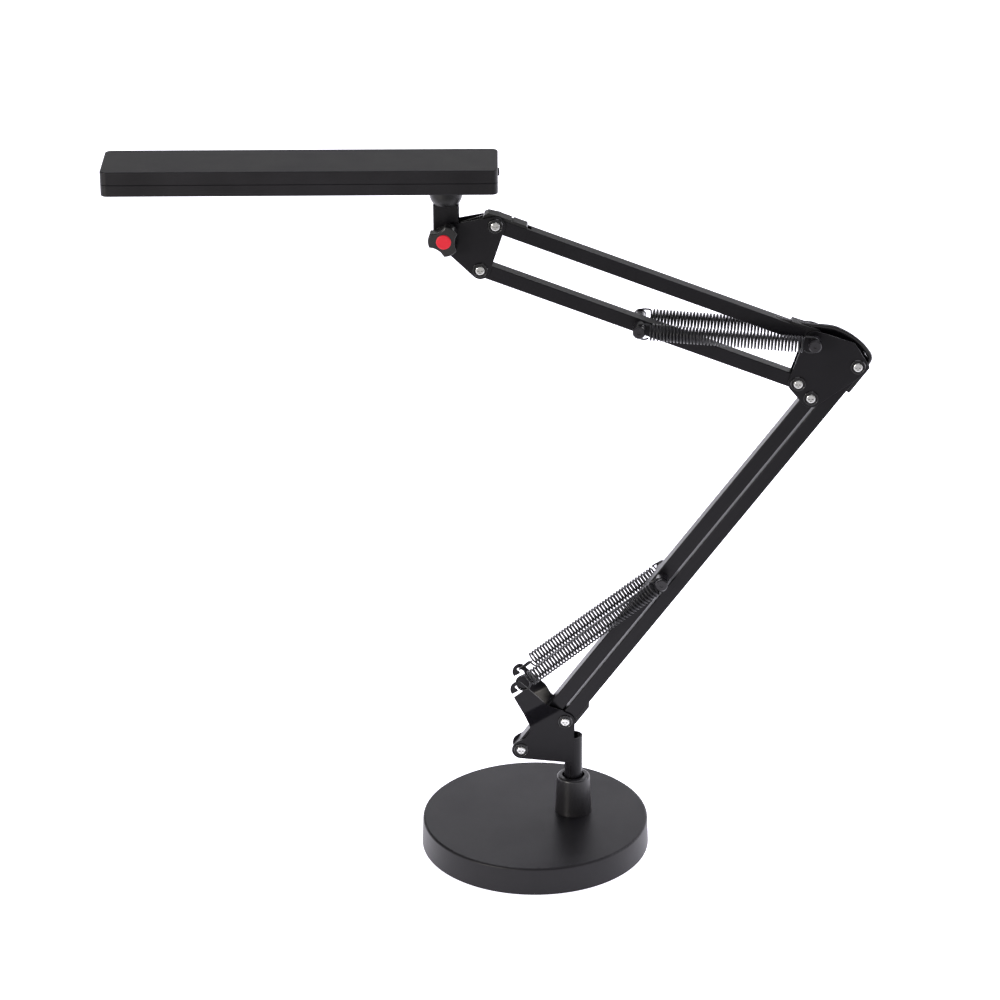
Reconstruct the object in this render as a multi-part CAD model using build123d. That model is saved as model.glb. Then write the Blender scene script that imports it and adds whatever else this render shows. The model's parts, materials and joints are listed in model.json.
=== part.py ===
from build123d import *
import math
import os

# Free-standing architect lamp: weighted round base, two sprung parallelogram arms, flat light head.
# Sizes in millimetres. X runs along the arms, Y points away from the viewer, Z is up.
# The origin is where the post's turning axis meets the floor.

# Fits between pieces
running_gap = 0.06
seat_gap = 0.05
side_gap = 0.1
moving_gap = 0.3

# Round base
base_radius = 100.0
base_flare = 1.0
base_height = 25.5
base_wall = 2.5
base_edge_round = 2.0
base_offset_x = -33.6
base_offset_y = -11.3
base_rim_lift = 0.5
pad_thickness = 2.0
pad_margin = 4.0
closing_plate_thickness = 2.5
ballast_radius = 72.0
ballast_thickness = 16.0
base_screw_count = 4
base_screw_inset = 14.0
base_screw_radius = 1.9
base_screw_head_radius = 4.0
base_screw_head_height = 1.8
base_screw_bite = 9.0
base_boss_radius = 5.0
pad_hole_margin = 1.0

# Post and the tower that it turns in
sheet = 1.2
post_seam_width = 0.4
post_seam_angle = -107.0
socket_height = 35.0
socket_top_radius = 14.5
socket_foot_radius = 16.3
socket_mouth_radius = 10.0
socket_floor_thickness = 7.5
socket_stem_radius = 13.0
socket_flange_radius = 22.0
socket_flange_thickness = 3.0
socket_rim_round = 2.2
bushing_drop = 4.5

# Square arm bars
bar_width = 12.5
bar_wall = 1.0
bar_corner = 0.8
washer_thickness = 0.4
washer_radius = 5.0

# Where the pivots are, seen from the side
lower_pivot_x = -7.1
lower_pivot_z = 116.9
lower_link = 48.6
lower_link_angle = 216.86
lower_arm = 421.7
lower_arm_angle = 54.14
elbow_step_x = -36.9
elbow_step_z = 23.1
upper_link = 41.4
upper_link_angle = 251.7
upper_arm = 286.4
upper_arm_angle = 159.93
tilt_step_x = -42.4
tilt_step_z = -9.7

# Lower bracket's sheet
bracket_lobe = 8.4
bracket_bottom_drop = 11.9
bracket_edge = 7.9
barrel_drop = 16.9
tail_angle = 121.5
tail_bend_start = 12.5
tail_bend_length = 16.5
tail_bend_round = 8.0
tail_spread = 17.5
hook_notch_radius = 1.7

# The bracket's side view: steps in X and Z from the front pivot to points of its outline
tail_front_edge = [(4.1, 6.7), (-13.7, 17.7), (-18.6, 24.0), (-31.5, 36.3), (-38.9, 43.2)]
hook_back = [(-38.9, 43.2), (-40.9, 43.7), (-45.0, 41.9), (-47.4, 38.8), (-47.9, 35.8), (-47.4, 33.2),
             (-46.1, 31.5)]
tail_rear_edge = [(-46.1, 31.5), (-44.7, 27.9), (-36.0, 11.8), (-31.4, -4.7), (-31.1, -7.8), (-31.9, -12.8),
                  (-35.2, -17.1), (-43.4, -21.9)]
hook_slot = [(-46.1, 31.5), (-41.0, 34.3), (-41.9, 36.6), (-40.4, 38.4), (-37.9, 36.8), (-36.9, 34.2),
             (-44.7, 27.9), (-50.0, 29.0)]
hook_notch = (-42.0, 38.1)
hook_seat = (-41.1, 38.3)

# Elbow and head plates
elbow_lobe = 8.6
elbow_corner_x = 31.5
elbow_corner_z = -4.2
elbow_corner_round = 3.0
head_lobe = 8.2
tilt_lobe = 9.2
plate_edge_round = 0.35

# Pivot screws, cup washers and nuts
screw_radius = 2.0
screw_head_radius = 3.9
screw_head_height = 1.7
screw_head_round = 1.1
cross_width = 1.0
cross_length = 4.6
cross_depth = 0.9
cup_radius = 6.6
cup_height = 1.2
cup_floor = 0.5
cup_rim = 1.2
cup_rim_round = 0.3
nut_across_flats = 7.0
nut_height = 3.2
screw_overrun = 1.0

# Spring pins
pin_radius = 3.0
pin_head_radius = 5.4
pin_head_thickness = 3.4
pin_head_chamfer = 0.8
pin_groove_width = 3.0
pin_dimple_radius = 1.5
pin_dimple_depth = 0.6
lower_pin_reach = 209.4
upper_pin_reach = 143.7
lower_spring_plane = 16.6
upper_spring_plane = 17.8

# Springs
spring_wire = 1.5
spring_radius = 5.6
spring_turns = 25
spring_hook_clear = 4.9
spring_leg = 4.0
spring_lead_in = 8.0
spring_least_gap = 0.4

# Lead and its clips
lead_radius = 2.3
lead_gap = 0.2
lead_slot_margin = 0.35
lead_offset = 6.0
lead_dip = 22.0
lead_foot_run = 16.0
lead_elbow_run = 20.0
lead_head_start = 2.0
lead_head_run = 10.0
upper_mouth_rise = 10.6
upper_mouth_inset = 1.0
upper_lead_reach = 34.0
upper_head_rise = 5.2
clip_width = 11.6
clip_thickness = 2.8
clip_corner = 1.0
foot_clip_start = 1.4
foot_clip_length = 22.0
foot_clip_ramp = 4.0
elbow_clip_start = 24.0
elbow_clip_past = 5.5
elbow_clip_lip = 5.2
upper_clip_start = 24.5
upper_clip_height = 2.5
upper_clip_recess_end = 7.2
upper_clip_recess = 8.0
upper_clip_recess_rim = 1.6
upper_clip_recess_depth = 1.2
head_clip_height = 2.4
head_clip_length = 25.6
head_clip_past = 12.3
head_clip_lip = 2.0
head_clip_notch = 1.6
head_clip_notch_place = 11.8

# The lead's loop: steps in X and Z from the lower arm's front top pivot, and its straight ends
loop_steps = [(9.9, 7.4), (7.0, 12.0), (1.6, 18.5), (-8.6, 26.3), (-17.6, 31.0)]
loop_start_run = 3.0
loop_end_run = 9.0

# The lead between the head plates: steps in X and Z from the tilt axis
head_lead_steps = [(30.0, 13.6), (18.4, 9.6), (10.0, 7.6), (4.2, 7.2)]
head_lead_run = 5.0

# Neck, its bolt and its knob
neck_width = 21.4
neck_sheet = 1.5
neck_bend_round = 1.4
neck_rise = 26.65
swivel_step_x = 0.8
neck_ear_radius = 12.0
neck_ear_blend = 6.0
neck_web_lift = 7.0
bolt_radius = 3.0
bolt_head_radius = 6.5
bolt_head_height = 3.4
knob_lobe_radius = 13.4
knob_waist_radius = 9.2
knob_valley_radius = 14.0
knob_lobe_count = 3
knob_first_lobe_angle = 177.0
knob_boss_radius = 7.0
knob_boss_height = 3.0
knob_depth = 11.0
knob_edge_round = 1.0
cap_radius = 6.35
cap_seat_depth = 1.6
cap_rise = 0.9

# Collar and hollow stud that the head turns on
collar_radius = 13.8
collar_height = 16.7
collar_straight = 8.5
collar_foot_radius = 10.4
collar_fullness = 0.75
spindle_radius = 5.0
spindle_bore = 3.2
spindle_nut_across_flats = 15.0
spindle_nut_height = 4.0
spindle_overrun = 1.5

# Light head
head_length = 329.0
head_width = 57.8
head_height = 21.5
head_yaw = 3.33
head_swivel_inset = 43.6
head_wall = 2.0
head_corner = 5.5
head_edge_round = 1.0
head_seam_height = 10.1
head_seam_bevel = 0.45
window_left_margin = 27.4
window_swivel_margin = 27.0
window_side_margin = 7.2
diffuser_lap = 3.0
diffuser_thickness = 2.0
ledge_width = 1.9
ledge_height = 6.6
led_board_thickness = 1.6
led_columns = 20
led_rows = 2
led_length = 3.5
led_width = 2.8
led_height = 0.7
led_row_spacing = 22.0
head_screw_radius = 1.5
head_screw_head_radius = 3.0
head_screw_head_height = 2.2
head_screw_recess = 3.5
head_boss_radius = 4.5
head_boss_height = 6.1
head_screw_side = 20.0
head_screw_left_inset = 11.4
head_screw_right_inset = 9.6
head_screw_bite = 9.0

# Push switch at the head's end
button_width = 10.0
button_height = 5.2
button_rise = 1.3
button_travel = 1.0
button_flange = 1.0
button_flange_thickness = 0.9
button_stem_radius = 1.5
button_stem_length = 5.5
switch_length = 10.0
switch_width = 14.0
switch_height = 14.0


# Points seen from the side, as X and Z
def stepped(point, distance, angle):
    turn = math.radians(angle)
    return (point[0] + distance * math.cos(turn), point[1] + distance * math.sin(turn))


front_foot = (lower_pivot_x, lower_pivot_z)
rear_foot = stepped(front_foot, lower_link, lower_link_angle)
front_top = stepped(front_foot, lower_arm, lower_arm_angle)
rear_top = stepped(rear_foot, lower_arm, lower_arm_angle)
top_bar_elbow = (front_top[0] + elbow_step_x, front_top[1] + elbow_step_z)
bottom_bar_elbow = stepped(top_bar_elbow, upper_link, upper_link_angle)
top_bar_head = stepped(top_bar_elbow, upper_arm, upper_arm_angle)
bottom_bar_head = stepped(bottom_bar_elbow, upper_arm, upper_arm_angle)
tilt_axis = (top_bar_head[0] + tilt_step_x, top_bar_head[1] + tilt_step_z)
lower_pin_place = stepped(rear_foot, lower_pin_reach, lower_arm_angle)
upper_pin_place = stepped(bottom_bar_elbow, upper_pin_reach, upper_arm_angle)
swivel_x = tilt_axis[0] + swivel_step_x
neck_top = tilt_axis[1] + neck_rise
collar_top = neck_top + collar_height
head_bottom = collar_top + side_gap

# Distances from the arms' middle plane
bar_half = bar_width / 2
plate_inner = bar_half + washer_thickness + side_gap
plate_outer = plate_inner + sheet
post_radius = plate_outer
screw_seat = plate_outer + cup_floor
base_place = Pos(base_offset_x, base_offset_y, 0)


def side_slab(outline, y_low, y_high):
    return extrude(Plane.XZ.offset(-y_high) * outline, y_high - y_low)


def cross_rod(point, radius, y_low, y_high):
    return side_slab(Pos(*point) * Circle(radius), y_low, y_high)


def turned_across(point, profile):
    outline = make_face(Polyline(*profile, close=True))
    return Pos(point[0], 0, point[1]) * revolve(outline, Axis.Y)


def turned_upright(profile):
    outline = make_face(Plane.XZ * Polyline(*profile, close=True))
    return revolve(outline, Axis.Z)


def mirrored_pair(solid):
    return [solid, mirror(solid, Plane.XZ)]


def lead_tube(points, radius):
    radii = []
    for before, corner, after in zip(points, points[1:], points[2:]):
        first_run = Vector(corner) - Vector(before)
        second_run = Vector(after) - Vector(corner)
        half_turn = math.radians(first_run.get_angle(second_run)) / 2
        shorter = min(first_run.length, second_run.length)
        radii.append(0.45 * shorter / math.tan(half_turn))
    path = FilletPolyline(*points, radius=radii)
    section = Plane(path @ 0, z_dir=path % 0) * Circle(radius)
    tube = sweep(section, path)
    swept_length = tube.volume / (math.pi * radius**2)
    print("lead radii", [round(value, 1) for value in radii], "length", round(path.length, 2), "swept",
          round(swept_length, 2))
    return tube


# Round base: drum, weight, closing plate, pad and screws
closing_plate_top = pad_thickness + closing_plate_thickness
cover_ceiling = base_height - base_wall
base_screw_circle = base_radius - base_screw_inset
boss_places = [Pos(base_screw_circle * math.cos(math.radians(360 * (index + 0.5) / base_screw_count)),
                   base_screw_circle * math.sin(math.radians(360 * (index + 0.5) / base_screw_count)), 0)
               for index in range(base_screw_count)]


def make_base_cover():
    bottom_radius = base_radius + base_flare
    outer = turned_upright([(0, base_rim_lift), (bottom_radius, base_rim_lift), (base_radius, base_height),
                            (0, base_height)])
    outer = fillet(outer.edges().group_by(Axis.Z)[-1], base_edge_round)
    inner = turned_upright([(0, 0), (bottom_radius - base_wall, 0), (base_radius - base_wall, cover_ceiling),
                            (0, cover_ceiling)])
    cover = outer - inner
    boss_height = cover_ceiling - closing_plate_top
    for place in boss_places:
        cover += place * Pos(0, 0, closing_plate_top + boss_height / 2) * Cylinder(base_boss_radius, boss_height)
        cover -= place * Pos(0, 0, closing_plate_top + base_screw_bite / 2) * Cylinder(
            base_screw_radius + seat_gap, base_screw_bite)
    cover = base_place * cover
    return cover - Pos(0, 0, base_height) * Cylinder(socket_foot_radius + side_gap, 4 * base_wall)


def make_base_ballast():
    middle = closing_plate_top + ballast_thickness / 2
    weight = base_place * Pos(0, 0, middle) * Cylinder(ballast_radius, ballast_thickness)
    return weight - Pos(0, 0, middle) * Cylinder(socket_flange_radius + base_wall, 2 * ballast_thickness)


def make_base_plate():
    middle = pad_thickness + closing_plate_thickness / 2
    radius = base_radius - base_wall - moving_gap
    plate = Pos(0, 0, middle) * Cylinder(radius, closing_plate_thickness)
    for place in boss_places:
        plate -= place * Pos(0, 0, middle) * Cylinder(base_screw_radius + side_gap, 2 * closing_plate_thickness)
    return base_place * plate


def make_foot_pad():
    pad = Pos(0, 0, pad_thickness / 2) * Cylinder(base_radius - pad_margin, pad_thickness)
    hole_radius = base_screw_head_radius + pad_hole_margin
    for place in boss_places:
        pad -= place * Pos(0, 0, pad_thickness / 2) * Cylinder(hole_radius, 2 * pad_thickness)
    return base_place * pad


def make_base_screws():
    head_low = pad_thickness - base_screw_head_height
    shank_top = closing_plate_top + base_screw_bite - moving_gap
    profile = [(0, head_low), (base_screw_head_radius, head_low), (base_screw_head_radius, pad_thickness),
               (base_screw_radius, pad_thickness), (base_screw_radius, shank_top), (0, shank_top)]
    return [base_place * place * turned_upright(profile) for place in boss_places]


# Tower on the base and the sleeve inside it
post_bottom = closing_plate_top + socket_floor_thickness
socket_top = base_height + socket_height
bushing_top = socket_top - bushing_drop


def make_post_socket():
    flange_low = cover_ceiling - socket_flange_thickness
    tower = turned_upright([(0, closing_plate_top), (socket_stem_radius, closing_plate_top),
                            (socket_stem_radius, flange_low), (socket_flange_radius, flange_low),
                            (socket_flange_radius, cover_ceiling), (socket_foot_radius, cover_ceiling),
                            (socket_foot_radius, base_height), (socket_top_radius, socket_top), (0, socket_top)])
    tower = fillet(tower.edges().group_by(Axis.Z)[-1], socket_rim_round)
    bore_height = socket_top - post_bottom
    return tower - Pos(0, 0, post_bottom + bore_height / 2) * Cylinder(socket_mouth_radius, bore_height)


def make_post_bushing():
    height = bushing_top - post_bottom
    middle = Pos(0, 0, post_bottom + height / 2)
    sleeve = Cylinder(socket_mouth_radius - seat_gap, height)
    return middle * (sleeve - Cylinder(post_radius + running_gap, 2 * height))


# Lower bracket: one bent sheet, its barrel is the turning post
def from_front_foot(steps):
    return [(front_foot[0] + step_x, front_foot[1] + step_z) for step_x, step_z in steps]


def make_bracket_outline(bottom):
    front_x, front_z = front_foot
    rear_x, rear_z = rear_foot
    right = front_x + bracket_edge
    front_edge = Polyline((rear_x, rear_z - bracket_lobe), (0, bottom), (right, bottom), (right, front_z),
                          *from_front_foot(tail_front_edge))
    rear_edge = Polyline(*from_front_foot(tail_rear_edge), (rear_x, rear_z - bracket_lobe))
    outline = make_face(front_edge + Spline(*from_front_foot(hook_back)) + rear_edge)
    outline += Pos(rear_x, rear_z) * Circle(bracket_lobe)
    outline += Pos(front_x, front_z) * Circle(bracket_lobe)
    outline -= make_face(Polyline(*from_front_foot(hook_slot), close=True))
    return outline - Pos(*from_front_foot([hook_notch])[0]) * Circle(hook_notch_radius)


def make_lower_bracket():
    tail_turn = math.radians(tail_angle)
    bottom = rear_foot[1] - bracket_bottom_drop
    barrel_top = front_foot[1] - barrel_drop
    bend_start = tail_bend_start
    bend_end = bend_start + tail_bend_length
    reach = 4 * (front_foot[1] + lower_link)
    spread_inner = tail_spread - sheet / 2
    spread_outer = tail_spread + sheet / 2
    folded = Plane(origin=(front_foot[0], 0, front_foot[1]), x_dir=(math.cos(tail_turn), 0, math.sin(tail_turn)),
                   z_dir=(-math.sin(tail_turn), 0, math.cos(tail_turn)))
    section = make_face(Polyline(
        (-reach, plate_inner), (bend_start, plate_inner), (bend_end, spread_inner), (reach, spread_inner),
        (reach, spread_outer), (bend_end, spread_outer), (bend_start, plate_outer), (-reach, plate_outer),
        close=True))
    bends = [corner for corner in section.vertices() if abs(corner.X) < reach / 2]
    section = fillet(bends, tail_bend_round)
    folded_sheet = extrude(folded * section, reach, both=True)
    slab = side_slab(make_bracket_outline(bottom), 0, 2 * tail_spread)
    far_plate = slab & folded_sheet
    near_plate = mirror(far_plate, Plane.XZ)
    barrel_inner = post_radius - sheet
    ring = Circle(post_radius) - Circle(barrel_inner)
    barrel = extrude(Pos(0, 0, bottom) * ring, barrel_top - bottom)
    barrel &= Pos(post_radius, 0, barrel_top) * Box(2 * post_radius, 4 * post_radius, 4 * barrel_top)
    post = extrude(Pos(0, 0, post_bottom) * ring, bottom - post_bottom)
    post -= Rot(0, 0, post_seam_angle) * Pos(post_radius, 0, post_bottom) * Box(
        2 * sheet + post_seam_width, post_seam_width, 2 * (bottom - post_bottom - 2 * sheet))
    bracket = far_plate + near_plate + barrel + post
    for pivot in (front_foot, rear_foot):
        bracket -= cross_rod(pivot, screw_radius + seat_gap, -plate_outer - 1, plate_outer + 1)
    return bracket


# Pivot hardware, the same at every pivot
def make_pivot_screw(pivot):
    far_end = plate_outer + nut_height + screw_overrun
    head_top = screw_seat + screw_head_height
    screw = turned_across(pivot, [(0, far_end), (screw_radius, far_end), (screw_radius, -screw_seat),
                                  (screw_head_radius, -screw_seat), (screw_head_radius, -head_top),
                                  (0, -head_top)])
    screw = fillet(screw.edges().group_by(Axis.Y)[0], screw_head_round)
    for turn in (0, 90):
        slot = Rectangle(cross_length, cross_width)
        screw -= side_slab(Pos(*pivot) * Rot(0, 0, turn) * slot, -head_top - 1, -head_top + cross_depth)
    return screw


def make_cup_washer(pivot):
    hole = screw_radius + seat_gap
    seat = screw_seat
    rim = plate_outer + cup_height
    cup = turned_across(pivot, [(hole, -plate_outer), (cup_radius, -plate_outer), (cup_radius, -seat),
                                (cup_radius - cup_floor, -rim), (cup_radius - cup_rim, -rim),
                                (cup_radius - 1.5 * cup_rim, -seat), (hole, -seat)])
    return fillet(cup.edges().group_by(Axis.Y)[0], cup_rim_round)


def make_nut(pivot):
    outline = RegularPolygon(nut_across_flats / 2, 6, major_radius=False) - Circle(screw_radius + seat_gap)
    return side_slab(Pos(*pivot) * outline, plate_outer, plate_outer + nut_height)


def make_washers(pivot, shaft_radius):
    ring = Circle(washer_radius) - Circle(shaft_radius + seat_gap)
    far_washer = side_slab(Pos(*pivot) * ring, plate_inner - washer_thickness, plate_inner)
    return mirrored_pair(far_washer)


# Arm bars, drawn along X from their first pivot and then turned into place
lower_bar_place = Pos(front_foot[0], 0, front_foot[1]) * Rot(0, -lower_arm_angle, 0)
rear_bar_place = Pos(rear_foot[0], 0, rear_foot[1]) * Rot(0, -lower_arm_angle, 0)
top_bar_place = Pos(top_bar_head[0], 0, top_bar_head[1]) * Rot(0, 180 - upper_arm_angle, 0)
bottom_bar_place = Pos(bottom_bar_head[0], 0, bottom_bar_head[1]) * Rot(0, 180 - upper_arm_angle, 0)


def make_bar(length, pivot_radii):
    outer = side_slab(Pos(length / 2, 0) * SlotCenterToCenter(length, bar_width), -bar_half, bar_half)
    outer = fillet(outer.faces().filter_by(Axis.Y).edges(), bar_corner)
    inner_width = bar_width - 2 * bar_wall
    bar = outer - Pos(length / 2, 0, 0) * Box(length + 2 * bar_width, inner_width, inner_width)
    for place, radius in pivot_radii:
        bar -= cross_rod((place, 0), radius, -bar_width, bar_width)
    return bar


def lead_slot(start, end, wall_side):
    middle = (start + end) / 2
    width = 2 * (lead_radius + lead_slot_margin)
    return Pos(middle, 0, wall_side * bar_half) * Box(end - start, width, 2.5 * bar_wall)


pivot_hole = screw_radius + running_gap
open_pivot_hole = screw_radius + moving_gap
pin_hole = pin_radius + seat_gap
upper_mouth = upper_arm - upper_mouth_inset

lower_lead_points = [(foot_clip_start, -lead_offset), (lead_foot_run, -lead_offset),
                     (lead_foot_run + lead_dip, 0), (lower_arm - lead_elbow_run - lead_dip, 0),
                     (lower_arm - lead_elbow_run, -lead_offset),
                     (lower_arm + elbow_clip_past, -lead_offset)]
upper_lead_points = [(-lead_head_start, upper_head_rise), (lead_head_run, upper_head_rise),
                     (lead_head_run + lead_dip, 0), (upper_arm - upper_lead_reach, 0),
                     (upper_mouth, upper_mouth_rise)]


def bar_lead(points, radius):
    return lead_tube([(x, 0, z) for x, z in points], radius)


def make_clip(outline_points, lead_points):
    clip = side_slab(make_face(Polyline(*outline_points, close=True)), -clip_width / 2, clip_width / 2)
    clip -= bar_lead(lead_points, lead_radius + lead_gap)
    return clip


def make_lower_front_bar():
    bar = make_bar(lower_arm, [(0, pivot_hole), (lower_arm, pivot_hole)])
    bar -= lead_slot(-bar_width, lead_foot_run + lead_dip - lead_radius, -1)
    return bar - lead_slot(lower_arm - lead_elbow_run - lead_dip + lead_radius, lower_arm + bar_width, -1)


def make_upper_top_bar():
    bar = make_bar(upper_arm, [(0, pivot_hole), (upper_arm, pin_radius + running_gap)])
    bar -= lead_slot(-bar_width, lead_head_run + lead_dip - lead_radius, 1)
    return bar - lead_slot(upper_arm - upper_lead_reach + lead_radius, upper_arm + bar_width, 1)


clip_top = bar_half + clip_thickness


def make_lower_foot_clip():
    start = foot_clip_start
    end = start + foot_clip_length
    outline = [(start, -bar_half), (start, -clip_top + clip_corner), (start + clip_corner, -clip_top),
               (end, -clip_top), (end + foot_clip_ramp, -bar_half)]
    return make_clip(outline, lower_lead_points)


def make_lower_elbow_clip():
    start = lower_arm - elbow_clip_start
    end = lower_arm + elbow_clip_past
    outline = [(start, -bar_half), (start, -clip_top), (end - clip_corner, -clip_top),
               (end, -clip_top + clip_corner), (end, -clip_top + elbow_clip_lip),
               (lower_arm, -clip_top + elbow_clip_lip), (lower_arm, -bar_half)]
    clip = make_clip(outline, lower_lead_points)
    return clip - cross_rod((lower_arm, 0), bar_half + seat_gap, -clip_width, clip_width)


def make_upper_elbow_clip():
    start = upper_arm - upper_clip_start
    top = bar_half + upper_clip_height
    outline = [(start, bar_half), (start + clip_corner / 2, top),
               (upper_mouth - clip_corner, top + clip_corner / 2),
               (upper_mouth, top), (upper_mouth, bar_half)]
    slope = upper_mouth_rise / (upper_lead_reach - upper_mouth_inset)
    past_mouth = (upper_mouth + bar_half, upper_mouth_rise + slope * bar_half)
    clip = make_clip(outline, upper_lead_points[:-1] + [past_mouth])
    recess = Box(upper_clip_recess, clip_width - 2 * upper_clip_recess_rim, 2 * upper_clip_recess_depth)
    recess_middle = upper_arm - upper_clip_recess_end - upper_clip_recess / 2
    return clip - Pos(recess_middle, 0, top) * recess


def make_upper_head_clip():
    top = bar_half + head_clip_height
    left = -head_clip_past
    bar_end = -bar_half - side_gap
    outline = [(left, head_clip_lip), (left + clip_corner / 2, bar_half - clip_corner),
               (left + 3 * clip_corner, top - clip_corner), (bar_end + clip_corner, top - clip_corner / 2),
               (0, top), (head_clip_length - clip_corner, top), (head_clip_length, top - clip_corner),
               (head_clip_length, bar_half),
               (bar_end, bar_half), (bar_end, head_clip_lip)]
    clip = make_clip(outline, upper_lead_points)
    clip -= top_bar_place.inverse() * make_head_lead(lead_radius + lead_gap)
    return clip - Pos(head_clip_notch_place, 0, top) * Box(head_clip_notch, 2 * clip_width, head_clip_height)


def bar_point(place, x, z):
    spot = (place * Pos(x, 0, z)).position
    return (spot.X, spot.Z)


# The lead's loop over the elbow and its stretch between the head plates
loop_middle = [(front_top[0] + step_x, front_top[1] + step_z) for step_x, step_z in loop_steps]


def make_lead_loop():
    loop_start = bar_point(lower_bar_place, lower_arm + elbow_clip_past, -lead_offset)
    loop_second = bar_point(lower_bar_place, lower_arm + elbow_clip_past + loop_start_run, -lead_offset)
    rise = math.degrees(math.atan2(upper_mouth_rise, upper_lead_reach - upper_mouth_inset))
    mouth = bar_point(top_bar_place, upper_mouth, upper_mouth_rise)
    before_mouth = stepped(mouth, loop_end_run, upper_arm_angle - 180 + rise)
    route = [loop_start, loop_second] + loop_middle + [before_mouth, mouth]
    return lead_tube([(x, 0, z) for x, z in route], lead_radius)


def make_lead_loop_halves():
    loop = make_lead_loop()
    cut_low, cut_high = loop_middle[2:4]
    middle = ((cut_low[0] + cut_high[0]) / 2, (cut_low[1] + cut_high[1]) / 2)
    cut = Plane(origin=(middle[0], 0, middle[1]), x_dir=(0, 1, 0),
                z_dir=(cut_high[0] - cut_low[0], 0, cut_high[1] - cut_low[1]))
    upper_half = split(loop, cut, keep=Keep.TOP)
    lower_half = split(loop, cut, keep=Keep.BOTTOM)
    return lower_half, upper_half


def make_head_lead(radius):
    start = bar_point(top_bar_place, -lead_head_start, upper_head_rise)
    second = bar_point(top_bar_place, -lead_head_start - head_lead_run, upper_head_rise)
    inside = [(tilt_axis[0] + step_x, tilt_axis[1] + step_z) for step_x, step_z in head_lead_steps]
    route = [start, second] + inside
    return lead_tube([(x, 0, z) for x, z in route], radius)


# Spring pins: turned rods with a groove and a dimpled head at each end
def make_spring_pin(place, collar_start, groove_plane):
    groove_inner = groove_plane - pin_groove_width / 2
    groove_outer = groove_plane + pin_groove_width / 2
    half_length = groove_outer + pin_head_thickness
    side = [(pin_radius, collar_start), (pin_head_radius, collar_start), (pin_head_radius, groove_inner),
            (pin_radius, groove_inner), (pin_radius, groove_outer), (pin_head_radius, groove_outer),
            (pin_head_radius, half_length - pin_head_chamfer),
            (pin_head_radius - pin_head_chamfer, half_length)]
    other_side = [(radius, -y) for radius, y in reversed(side)]
    pin = turned_across(place, [(0, -half_length)] + other_side + side + [(0, half_length)])
    far_dimple = cross_rod(place, pin_dimple_radius, half_length - pin_dimple_depth, half_length)
    for dimple in mirrored_pair(far_dimple):
        pin -= dimple
    return pin


# Extension springs: a coil between two straight ends, one tube each
def biarc(start, start_way, end, end_way):
    chord = end - start
    ways = start_way + end_way
    bend = 2 * (1 - start_way.dot(end_way))
    along = chord.dot(ways)
    arm = (math.sqrt(along * along + bend * chord.dot(chord)) - along) / bend
    first_corner = start + start_way * arm
    second_corner = end - end_way * arm
    joint = (first_corner + second_corner) * 0.5
    joint_way = (second_corner - first_corner).normalized()
    return [TangentArc(start, joint, tangent=start_way), TangentArc(joint, end, tangent=joint_way)]


def make_spring(first_end, last_end):
    first_end = Vector(*first_end)
    last_end = Vector(*last_end)
    axis = (last_end - first_end).normalized()
    side = axis.cross(Vector(0, 1, 0)).normalized()
    up = side.cross(axis).normalized()
    inset = spring_leg + spring_lead_in
    coil_start = first_end + axis * inset
    coil_length = (last_end - first_end).length - 2 * inset
    pitch = coil_length / spring_turns

    def coil_point(turn):
        angle = 2 * math.pi * turn
        around = side * math.cos(angle) + up * math.sin(angle)
        return coil_start + axis * (pitch * turn) + around * spring_radius

    def coil_way(turn):
        angle = 2 * math.pi * turn
        around = up * math.cos(angle) - side * math.sin(angle)
        return (around * (2 * math.pi * spring_radius) + axis * pitch).normalized()

    first_leg = first_end + axis * spring_leg
    last_leg = last_end - axis * spring_leg
    edges = [Line(first_end, first_leg)]
    edges += biarc(first_leg, axis, coil_point(0), coil_way(0))
    half_turns = 2 * spring_turns
    for index in range(half_turns):
        edges += biarc(coil_point(index / 2), coil_way(index / 2), coil_point((index + 1) / 2),
                       coil_way((index + 1) / 2))
    edges += biarc(coil_point(spring_turns), coil_way(spring_turns), last_leg, axis)
    edges.append(Line(last_leg, last_end))
    path = Wire([curve.edge() for curve in edges])
    report_least_gap(edges)
    return sweep(Plane(first_end, z_dir=axis) * Circle(spring_wire / 2), path)


def report_least_gap(edges):
    points = []
    travelled = 0.0
    for curve in edges:
        samples = 5
        for index in range(samples):
            points.append((travelled + curve.length * index / samples, curve @ (index / samples)))
        travelled += curve.length
    apart = math.pi * spring_radius
    least = min((one - other).length for place, one in points for other_place, other in points
                if other_place - place > apart)
    print("spring least gap", round(least - spring_wire, 2), "wanted over", spring_least_gap)


spring_stop = pin_radius + moving_gap


def towards(start, end, distance):
    way = (Vector(*end) - Vector(*start)).normalized()
    spot = Vector(*start) + way * distance
    return (spot.X, spot.Y, spot.Z)


def make_lower_spring():
    seat_x, seat_z = from_front_foot([hook_seat])[0]
    hook = (seat_x, tail_spread, seat_z)
    pin = (lower_pin_place[0], lower_spring_plane, lower_pin_place[1])
    return make_spring(towards(hook, pin, spring_hook_clear), towards(pin, hook, spring_stop))


def make_upper_spring():
    elbow_pin = (top_bar_elbow[0], upper_spring_plane, top_bar_elbow[1])
    bar_pin = (upper_pin_place[0], upper_spring_plane, upper_pin_place[1])
    return make_spring(towards(elbow_pin, bar_pin, spring_stop), towards(bar_pin, elbow_pin, spring_stop))


# Elbow and head plates
def rounded_plate(lobes, holes):
    rim = ShapeList()
    for point, radius in lobes:
        rim += (Pos(*point) * Circle(radius)).edges()
    outline = make_hull(rim)
    for point, radius in holes:
        outline -= Pos(*point) * Circle(radius)
    plate = side_slab(outline, plate_inner, plate_outer)
    return fillet(plate.faces().sort_by(Axis.Y)[-1].outer_wire().edges(), plate_edge_round)


screw_hole = screw_radius + seat_gap


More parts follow.
